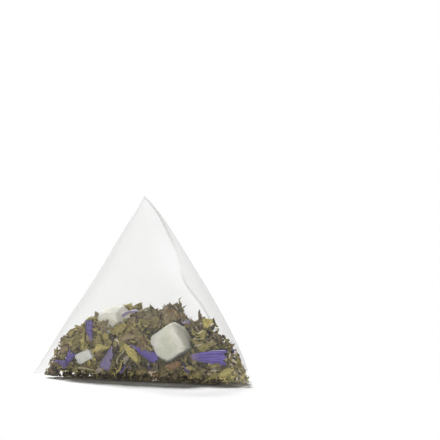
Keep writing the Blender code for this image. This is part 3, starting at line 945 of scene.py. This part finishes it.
    def execute(self, context):
        film = context.scene.tea_bag_film
        points, marks = self.tube(film)
        points = self.wrinkle(points, marks, film.wrinkle)
        points = self.settle(points, marks, film)
        points[..., 2] = np.maximum(points[..., 2], self.table_gap)
        faces = tube_faces(len(marks), self.columns)
        bag = new_piece("bag_mesh", points.reshape(-1, 3), faces, film_finish(film), "mesh")
        keep(bag, "film", self.film_marks(points, marks, film))
        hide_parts("mesh_bag")
        return {"FINISHED"}


class OBJECT_OT_tea_bag_bed(bpy.types.Operator):
    """Makes the heart of the herb heap, painted dark as the shade between the leaf bits"""
    bl_idname = "object.tea_bag_bed"
    bl_label = "Herb heap"

    below_top, least_height = 1.4 * MM, 1 * MM
    bumps_to_metre, bump_depth = 700, 0.35

    def execute(self, context):
        herb = context.scene.tea_bag_herb
        mesh = open_solid("leaf_bed")
        bmesh.ops.triangulate(mesh, faces=mesh.faces)
        bmesh.ops.subdivide_edges(mesh, edges=mesh.edges, cuts=1, use_grid_fill=True)
        mesh.normal_update()
        for vertex in mesh.verts:
            bumps = noise.fractal(vertex.co * self.bumps_to_metre, 0.8, 2.0, 3)
            vertex.co -= vertex.normal * (self.bump_depth + self.bump_depth * bumps) * MM
        points, faces = close_solid(mesh)
        highest = np.maximum(heap_top(points, herb.crest) - self.below_top, self.least_height)
        points[:, 2] = np.minimum(points[:, 2], highest)
        bed = new_piece("herb_heap", points, faces, crumb_painted_shade_finish(herb), "herb")
        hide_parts("leaf_bed")
        return {"FINISHED"}


class OBJECT_OT_tea_bag_leaves(bpy.types.Operator):
    """Makes the larger leaf bits, each where its CAD piece lies"""
    bl_idname = "object.tea_bag_leaves"
    bl_label = "Leaves"

    rows, columns = 17, 11

    def execute(self, context):
        herb = context.scene.tea_bag_herb
        rng = np.random.default_rng(5)
        plate = plate_faces(self.rows, self.columns)
        groups = {}
        for node, look in zip(nodes_of("leaf"), LEAF_LOOKS):
            form = NodeForm(node)
            flake = form.flake(rng, longer=1.04, wider=1.12, rows=self.rows, columns=self.columns)
            flake.torn(roundness=0.5, ragged=0.46)
            flake.roll(0.5, 1.5)
            flake.crumple(depth=0.24, waves=7)
            flake.z = flake.z + form.height(flake.x, flake.y)
            shape = form.place(flake.shells(herb.leaf_thickness))
            shape[..., 2] -= let_down(node, herb.crest)
            shape = settle_inside(shape, form.axes[2][None])
            tint = rng.uniform(0.35, 0.8, 1)
            nodes, batches = groups.setdefault(look, ([], []))
            nodes.append(node)
            batches.append((shape, plate, flake.marks(tint), flake.sides()))
        finishes = leaf_finishes(herb)
        for look, (nodes, batches) in groups.items():
            piece = flake_piece("leaves_" + look, batches, finishes[look], "leaf")
            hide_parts(*nodes)
        return {"FINISHED"}


class OBJECT_OT_tea_bag_petals(bpy.types.Operator):
    """Makes the violet-blue petals, each where its CAD piece lies"""
    bl_idname = "object.tea_bag_petals"
    bl_label = "Petals"

    rows, columns = 21, 15
    thinness = 0.8
    ridge_depth = 0.05

    def execute(self, context):
        herb, treats = context.scene.tea_bag_herb, context.scene.tea_bag_treats
        rng = np.random.default_rng(8)
        plate = plate_faces(self.rows, self.columns)
        batches, nodes = [], nodes_of("petal")
        for number, node in enumerate(nodes):
            form = NodeForm(node)
            flake = form.flake(rng, longer=1.05, wider=1.25, rows=self.rows, columns=self.columns)
            flake.petal()
            flake.roll(1.6, 3.4)
            flake.twist(0.9)
            flake.crumple(depth=0.11, waves=5)
            ridges = self.ridge_depth * flake.widths * np.sin(flake.v * 20)
            flake.z = flake.z + ridges + form.height(flake.x, flake.y)
            shape = form.place(flake.shells(herb.leaf_thickness * self.thinness))
            shape = settle_inside(shape, form.axes[2][None])
            age = np.array([PETAL_AGES[number % len(PETAL_AGES)]])
            batches.append((shape, plate, flake.marks(age), flake.sides()))
        piece = flake_piece("petals", batches, petal_finish(treats), "petal")
        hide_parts(*nodes)
        return {"FINISHED"}


class OBJECT_OT_tea_bag_stalks(bpy.types.Operator):
    """Makes the thin stalks, each where its CAD piece lies"""
    bl_idname = "object.tea_bag_stalks"
    bl_label = "Stalks"

    rows, sides = 25, 9
    dark_ones = (2, 3, 6)
    thick_end, taper = 0.30 * MM, 0.12 * MM
    kink = 0.08 * MM
    uneven = 0.12

    def tube(self, node, number, rng):
        """Points of a ridged tube along a stalk, which tapers and kinks a little."""
        form = NodeForm(node)
        points = []
        for row in range(self.rows):
            u = row / (self.rows - 1)
            a = form.low[0] + u * form.length()
            b = np.polyval(form.bow, a) + self.kink * math.sin(9 * u + number)
            radius = (self.thick_end - self.taper * u) * (1 + self.uneven * rng.uniform(-1, 1))
            if row in (0, self.rows - 1):
                radius *= 0.5
            for side in range(self.sides):
                angle = 2 * math.pi * side / self.sides
                ridge = radius * (1 + self.uneven * math.cos(3 * angle))
                height = form.height(a, b) + ridge * math.sin(angle)
                points.append(form.place(np.array([a, b + ridge * math.cos(angle), height])))
        return points

    def execute(self, context):
        herb, treats = context.scene.tea_bag_herb, context.scene.tea_bag_treats
        rng = np.random.default_rng(13)
        looks = {"pale": ([], [], []), "dark": ([], [], [])}
        for number, node in enumerate(nodes_of("stalk")):
            points, faces, nodes = looks["dark" if number in self.dark_ones else "pale"]
            start = len(points)
            points += self.tube(node, number, rng)
            faces += tube_faces(self.rows, self.sides, start)
            faces.append(tuple(start + side for side in reversed(range(self.sides))))
            faces.append(tuple(len(points) - self.sides + side for side in range(self.sides)))
            nodes.append(node)
        tones = {"pale": treats.stalk, "dark": herb.dark}
        for look, (points, faces, nodes) in looks.items():
            finish = stalk_finish("stalk_" + look, tones[look])
            piece = new_piece("stalks_" + look, points, faces, finish, "stalk")
            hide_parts(*nodes)
        return {"FINISHED"}


class OBJECT_OT_tea_bag_fruit(bpy.types.Operator):
    """Makes the dried fruit, each piece where its CAD piece lies"""
    bl_idname = "object.tea_bag_fruit"
    bl_label = "Fruit"

    # Each piece's node, how often it is rounded, and its chips: way across, way up and depth in mm
    pieces = (("fruit_cube_front", 11, ((0.62, 0.78, 1.3), (-0.42, -0.91, 1.1), (0.9, -0.43, 0.5))),
              ("fruit_cube_rear", 24, ()),
              ("fruit_piece_left", 4, ((-0.5, 0.87, 0.4),)))
    longest_edge = 0.45 * MM
    chip_share = 0.9
    dent_depth = 0.8 * MM

    def refine(self, mesh):
        """Cuts the solid's flat faces into short-edged triangles."""
        bmesh.ops.dissolve_limit(mesh, angle_limit=0.02, verts=mesh.verts, edges=mesh.edges)
        bmesh.ops.triangulate(mesh, faces=mesh.faces)
        for _ in range(4):
            long_edges = [edge for edge in mesh.edges if edge.calc_length() > self.longest_edge]
            bmesh.ops.subdivide_edges(mesh, edges=long_edges, cuts=1)
            bmesh.ops.triangulate(mesh, faces=mesh.faces)

    def chip(self, mesh, chips):
        """Presses corners in to flat chips."""
        points = np.array([vertex.co for vertex in mesh.verts])
        centre = (points.min(axis=0) + points.max(axis=0)) / 2
        for across, up, depth in chips:
            way = np.array(ACROSS * across) + np.array((0, 0, up))
            over = (points - centre) @ way
            over = np.maximum(over - over.max() + depth * MM, 0)
            points = points - over[:, None] * way * self.chip_share
        for vertex, point in zip(mesh.verts, points):
            vertex.co = point

    def dent(self, mesh, number):
        """Gives the skin shallow dents and a fine grain, other ones for each piece."""
        mesh.normal_update()
        for vertex in mesh.verts:
            place = vertex.co * 330 + Vector((number * 7.0, 0, 0))
            facets = noise.voronoi(place * 0.8)[0][0]
            fine = noise.fractal(vertex.co * 1500, 0.9, 2.0, 3)
            vertex.co += vertex.normal * (0.5 - 0.62 * facets + 0.12 * fine) * self.dent_depth

    def execute(self, context):
        finish = fruit_finish(context.scene.tea_bag_treats)
        for number, (node, rounds, chips) in enumerate(self.pieces):
            mesh = open_solid(node)
            self.refine(mesh)
            self.chip(mesh, chips)
            for _ in range(rounds):
                bmesh.ops.smooth_vert(mesh, verts=mesh.verts, factor=0.5, use_axis_x=True, use_axis_y=True,
                                      use_axis_z=True)
            self.dent(mesh, number)
            piece = new_piece(node.replace("fruit_", "dried_"), *close_solid(mesh), finish, "fruit")
            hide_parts(node)
        return {"FINISHED"}


class OBJECT_OT_tea_bag_herb(bpy.types.Operator):
    """Fills the loose layer with crumpled leaf bits and crumbs"""
    bl_idname = "object.tea_bag_herb"
    bl_label = "Loose herb"

    # The share that each look takes of the crumbs in the front corners, and of those in the fold, where most
    # are dark as painted shade
    corner_shares = (0.15, 0.05, 0.47, 0.05, 0.06, 0.22)
    seam_painted_shade_shares = (0.12, 0.10, 0.03, 0.05, 0.70, 0.0)

    # Rows and columns of points in a leaf bit and a crumb, and how much each is tilted at random
    leaf_grid, crumb_grid = (6, 5), (4, 3)
    leaf_tilt, crumb_tilt = 0.6, 1.2
    right_limit = 23.5 * MM

    def places(self, rng, wanted, herb, low, high, edge=0.0, top=math.inf):
        """Random places at this depth range inside the herb, out past edge and under the top."""
        tries = 40000
        found = []
        total = 0
        half = SEAL_LENGTH / 2
        lowest_corner = (-half, -half * 0.55, 0)
        highest_corner = (half, half, min(herb.crest * 1.1, top))
        while total < wanted:
            points = rng.uniform(lowest_corner, highest_corner, (tries, 3))
            points = points[(np.abs(points[:, 0]) > edge) & (points[:, 2] < top)]
            depth = -herb_distance(points, herb.crest)
            points = points[(depth > low) & (depth < high)]
            found.append(points)
            total += len(points)
        return np.concatenate(found)[:wanted]

    def short_of_right(self, places):
        """Leaves out the places at the very end of the right corner."""
        return places[places[:, 0] < self.right_limit]

    def crumbs(self, rng, places, millimetres, slimness, parts, lighter):
        """One kind of crumbs, from ranges of their length and of their width as a share of it."""
        lengths = rng.uniform(*millimetres, len(places)) * MM
        widths = lengths * rng.uniform(*slimness, len(places))
        return places, lengths, widths, self.crumb_grid, self.crumb_tilt, parts, lighter

    def kinds(self, rng, herb):
        """Leaf bits and three kinds of crumbs: places, sizes, grid, tilt, shares of the looks, lightness."""
        usual = tuple(LOOK_SHARES.values())
        leaves = self.short_of_right(self.places(rng, herb.leaf_count, herb, 0.3 * MM, herb.layer))
        lengths = herb.leaf_length * rng.lognormal(-0.08, 0.38, len(leaves)).clip(0.4, 1.9)
        widths = lengths * rng.uniform(0.38, 0.85, len(leaves))
        kinds = [(leaves, lengths, widths, self.leaf_grid, self.leaf_tilt, usual, 0.0)]
        crumbs = self.short_of_right(self.places(rng, herb.crumb_count, herb, 0.15 * MM, herb.layer * 0.8))
        kinds.append(self.crumbs(rng, crumbs, (0.45, 1.3), (0.35, 0.8), usual, lighter=0.0))
        corners = self.places(rng, herb.corner_count, herb, 0.08 * MM, herb.layer,
                              edge=SEAL_LENGTH * 0.31, top=5 * MM)
        kinds.append(self.crumbs(rng, corners, (0.4, 1.5), (0.4, 0.9), self.corner_shares, lighter=0.35))
        seam = self.places(rng, 8 * herb.seam_count, herb, 0.05 * MM, 1.2 * MM, top=2.2 * MM)
        seam = seam[seam[:, 1] < SEAL_Y + 2 * MM][:herb.seam_count]
        seam = self.short_of_right(seam)
        # The crumbs in the fold are darkened further as painted shade
        kinds.append(self.crumbs(rng, seam, (0.3, 1.1), (0.4, 0.9), self.seam_painted_shade_shares, lighter=-0.3))
        return kinds

    def clear_of(self, shapes, ways, tree, reach, above=0.0):
        """Which flakes neither lie in a tree's pieces nor hide what of them is above a height."""
        touch = 0.45 * MM
        probes = 7
        clear = []
        for shape, way in zip(shapes, ways):
            inward = Vector(-way)
            hidden = False
            for point in shape[:: max(len(shape) // probes, 1)]:
                start = Vector(point)
                hits = (tree.find_nearest(start, touch)[0], tree.ray_cast(start, SIGHT, reach)[0],
                        tree.ray_cast(start, inward, reach / 2)[0])
                if any(hit and hit.z > above for hit in hits):
                    hidden = True
                    break
            clear.append(not hidden)
        return np.array(clear)

    def crumpled(self, rng, herb, lengths, widths, grid):
        """Torn, rolled and crumpled flakes of these sizes."""
        flakes = Flakes(rng, lengths, widths, *grid)
        flakes.torn(roundness=0.7, ragged=0.42)
        flakes.roll(0.5, 3.4)
        flakes.arch(0.0, 1.5)
        flakes.crumple(depth=0.14, waves=4)
        flakes.twist(1.3)
        return flakes, flakes.shells(herb.leaf_thickness)

    def sunk(self, shapes, film):
        """Moves flakes with the front seal as it sags, and keeps them over the table."""
        extra = 0.15 * MM
        table_gap = 0.12 * MM
        middles = shapes.mean(axis=1)
        moves = seal_sag(middles, along_tube(middles).clip(0, 1), film)
        moves[:, 2] = np.maximum(moves[:, 2] - extra, table_gap - shapes[..., 2].min(axis=1))
        return shapes + moves[:, None, :]

    def looks(self, rng, places, parts):
        """The number of each flake's look. Low in the right corner most of them are yellow or pale."""
        corner_start, corner_height = 12 * MM, 6 * MM
        light_chance = 0.6
        names = list(LOOK_SHARES)
        looks = rng.choice(len(names), len(places), p=parts)
        corner = (to_right(places) > corner_start) & (places[:, 2] < corner_height)
        light = corner & (rng.uniform(0, 1, len(places)) < light_chance)
        light_looks = (names.index("yellow"), names.index("pale"))
        looks[light] = rng.choice(light_looks, light.sum(), p=(0.6, 0.4))
        return looks

    def execute(self, context):
        film, herb = context.scene.tea_bag_film, context.scene.tea_bag_herb
        rng = np.random.default_rng(21)
        bright = tree_of(nodes_of("petal") + nodes_of("stalk") + ["fruit_cube_front", "fruit_piece_left"])
        bedded = tree_of([node for node in nodes_of("leaf") if top_of(node) < herb.crest])
        rear = tree_of(["fruit_cube_rear"])
        groups = {look: [] for look in LOOK_SHARES}
        for places, lengths, widths, grid, tilt, parts, lighter in self.kinds(rng, herb):
            flakes, shapes = self.crumpled(rng, herb, lengths, widths, grid)
            ways = outward_ways(places, herb.crest)
            shapes = settle_inside(shapes @ axes_for(rng, ways, tilt) + places[:, None, :], ways)
            kept = self.clear_of(shapes, ways, bright, 4 * MM)
            kept &= self.clear_of(shapes, ways, bedded, 1.2 * MM)
            kept &= self.clear_of(shapes, ways, rear, 6 * MM, above=14.4 * MM)
            kept &= wall_distance(shapes).max(axis=1) < -LEAST_CLEARANCE
            shapes = self.sunk(shapes, film)
            looks = self.looks(rng, places, parts)
            rightness = fade(to_right(places), 10 * MM, 18 * MM)
            # Painted light and shade: the tint rises with height, so the heap is lighter at its top and darker
            # low down. It also rises towards the right corner, and by each kind's lightness
            tints = rng.uniform(0.0, 0.7, len(places)) + 0.65 * places[:, 2] / herb.crest
            tints += 0.45 * rightness + lighter
            marks, sides, plate = flakes.marks(tints), flakes.sides(), plate_faces(*grid)
            for number, batches in enumerate(groups.values()):
                chosen = kept & (looks == number)
                batches.append((shapes[chosen], plate, marks[chosen], sides[chosen]))
        finishes = leaf_finishes(herb)
        for look, batches in groups.items():
            flake_piece("herb_" + look, batches, finishes[look], "herb")
        return {"FINISHED"}


class OBJECT_OT_tea_bag_stage(bpy.types.Operator):
    """Makes the pale floor, the soft light and the camera"""
    bl_idname = "object.tea_bag_stage"
    bl_label = "Floor, light and camera"

    floor_size = 8.0
    floor_gap = 0.1 * MM

    # The floor's colour in the light that it throws back, and as the eye sees it
    floor_tone, eye_tone = (0.8, 0.8, 0.8), (1.3, 1.3, 1.3)

    # The floor keeps its shadow round this place, and turns to plain white between these two distances
    shadow_place = -SIGHT * 14 * MM
    shadow_near, shadow_far = 36 * MM, 46 * MM

    # Light from all round, against 1 for the white that the eye sees
    light_round = 0.03

    # Each lamp's place as metres back, across and up, its size and its power
    lamps = {"lamp_behind": (0.75, -0.20, 0.62, 0.24, 14.4),
             "lamp_front": (-0.98, -0.10, 0.012, 0.05, 8.9)}
    lamp_aim = Vector((0, 0, 10 * MM))

    # The camera stands this far from the bag's foot, and looks down on it by this angle
    camera_distance = 0.72
    camera_height = math.radians(4.5)
    sensor_width, lens = 36.0, 244.7

    # In pixels: the square picture's side, the foot's place from its left and top, a seal's length there
    picture = 440
    foot_across, foot_down = 171.7, 373.4
    seal_pixels = 249.8

    def floor(self):
        """A pale floor that stays white to the eye and keeps the bag's shadow."""
        bpy.ops.mesh.primitive_plane_add(size=self.floor_size, location=(0, 0, -self.floor_gap))
        floor = bpy.context.object
        floor.name = "floor"
        finish = material("floor")
        eye = finish.light_path("Is Camera Ray")
        glossy = finish.light_path("Is Glossy Ray")
        through = finish.light_path("Is Transmission Ray")
        seen = eye.highest(glossy).highest(through)
        tone = finish.mix(eye, self.floor_tone, self.eye_tone)
        shaded = finish.node("ShaderNodeBsdfDiffuse", None, {"Color": tone})
        white = finish.node("ShaderNodeEmission", None, {"Color": (1, 1, 1), "Strength": 1.0})
        place = finish.node("ShaderNodeTexCoord", output="Object")
        ends = {0: place, 1: self.shadow_place}
        away = finish.node("ShaderNodeVectorMath", {"operation": "DISTANCE"}, ends, "Value")
        outside = seen * away.between(self.shadow_near, self.shadow_far)
        shader = finish.node("ShaderNodeMixShader", None, {0: outside, 1: shaded, 2: white})
        floor.data.materials.append(finish.close(shader))

    def world(self, scene):
        """Faint plain light from all round, which the eye sees as white."""
        world = Finish(bpy.data.worlds.new("studio"), "ShaderNodeOutputWorld")
        seen = world.light_path("Is Camera Ray").highest(world.light_path("Is Transmission Ray"))
        levels = {"Value": seen, "To Min": self.light_round, "To Max": 1.0}
        strength = world.node("ShaderNodeMapRange", None, levels)
        light = world.node("ShaderNodeBackground", None, {"Color": (1, 1, 1), "Strength": strength})
        scene.world = world.close(light)

    def lamp(self, scene, name, back, across, up, size, power):
        """A round soft lamp that looks at the bag."""
        light = bpy.data.lights.new(name, "AREA")
        light.shape, light.size, light.energy = "DISK", size, power
        place = SIGHT * back + ACROSS * across + Vector((0, 0, up))
        self.stand(scene, name, light, place, self.lamp_aim)

    def stand(self, scene, name, data, place, aim):
        """Stands a lamp or the camera at a place, turned to its aim."""
        holder = bpy.data.objects.new(name, data)
        scene.collection.objects.link(holder)
        holder.location = place
        holder.rotation_mode = "QUATERNION"
        holder.rotation_quaternion = (aim - holder.location).to_track_quat("-Z", "Y")
        return holder

    def camera(self, scene):
        """The camera, level, and aimed past the bag so that it stands low and left in the picture."""
        lens = bpy.data.cameras.new("camera")
        lens.sensor_width, lens.lens = self.sensor_width, self.lens
        lens.clip_start, lens.clip_end = 0.01, 50.0
        foot = Vector((0, 0, TIP_LIFT))
        line = SIGHT * math.cos(self.camera_height) - Vector((0, 0, math.sin(self.camera_height)))
        upward = ACROSS.cross(line)
        pixel = SEAL_LENGTH / self.seal_pixels
        aim = foot + ACROSS * (self.picture / 2 - self.foot_across) * pixel
        aim += upward * (self.foot_down - self.picture / 2) * pixel
        scene.camera = self.stand(scene, "camera", lens, foot - line * self.camera_distance, aim)

    def execute(self, context):
        scene = context.scene
        self.floor()
        self.world(scene)
        for name, settings in self.lamps.items():
            self.lamp(scene, name, *settings)
        self.camera(scene)
        scene.view_settings.view_transform = "Standard"
        return {"FINISHED"}


class VIEW3D_PT_tea_bag(bpy.types.Panel):
    """Lists the pieces of the tea bag and their sizes"""
    bl_label = "Tea bag"
    bl_space_type = "VIEW_3D"
    bl_region_type = "UI"
    bl_category = "Tea bag"

    def draw(self, context):
        for name in GROUPS:
            group = getattr(context.scene, name)
            box = self.layout.box()
            for field in group.__annotations__:
                box.prop(group, field)
        for operator in OPERATORS:
            self.layout.operator(operator.bl_idname)


OPERATORS = (OBJECT_OT_tea_bag_stage, OBJECT_OT_tea_bag_film, OBJECT_OT_tea_bag_bed, OBJECT_OT_tea_bag_fruit,
             OBJECT_OT_tea_bag_petals, OBJECT_OT_tea_bag_leaves, OBJECT_OT_tea_bag_stalks,
             OBJECT_OT_tea_bag_herb)
GROUPS = {"tea_bag_film": TeaBagFilm, "tea_bag_herb": TeaBagHerb, "tea_bag_treats": TeaBagTreats}


def register():
    for name, group in GROUPS.items():
        bpy.utils.register_class(group)
        setattr(bpy.types.Scene, name, bpy.props.PointerProperty(type=group))
    for operator in OPERATORS:
        bpy.utils.register_class(operator)
    bpy.utils.register_class(VIEW3D_PT_tea_bag)


def unregister():
    bpy.utils.unregister_class(VIEW3D_PT_tea_bag)
    for operator in reversed(OPERATORS):
        bpy.utils.unregister_class(operator)
    for name, group in reversed(GROUPS.items()):
        delattr(bpy.types.Scene, name)
        bpy.utils.unregister_class(group)


def main():
    register()
    bpy.ops.object.tea_bag_stage()
    bpy.ops.object.tea_bag_film()
    bpy.ops.object.tea_bag_bed()
    bpy.ops.object.tea_bag_fruit()
    bpy.ops.object.tea_bag_petals()
    bpy.ops.object.tea_bag_leaves()
    bpy.ops.object.tea_bag_stalks()
    bpy.ops.object.tea_bag_herb()


if __name__ == "__main__":
    main()
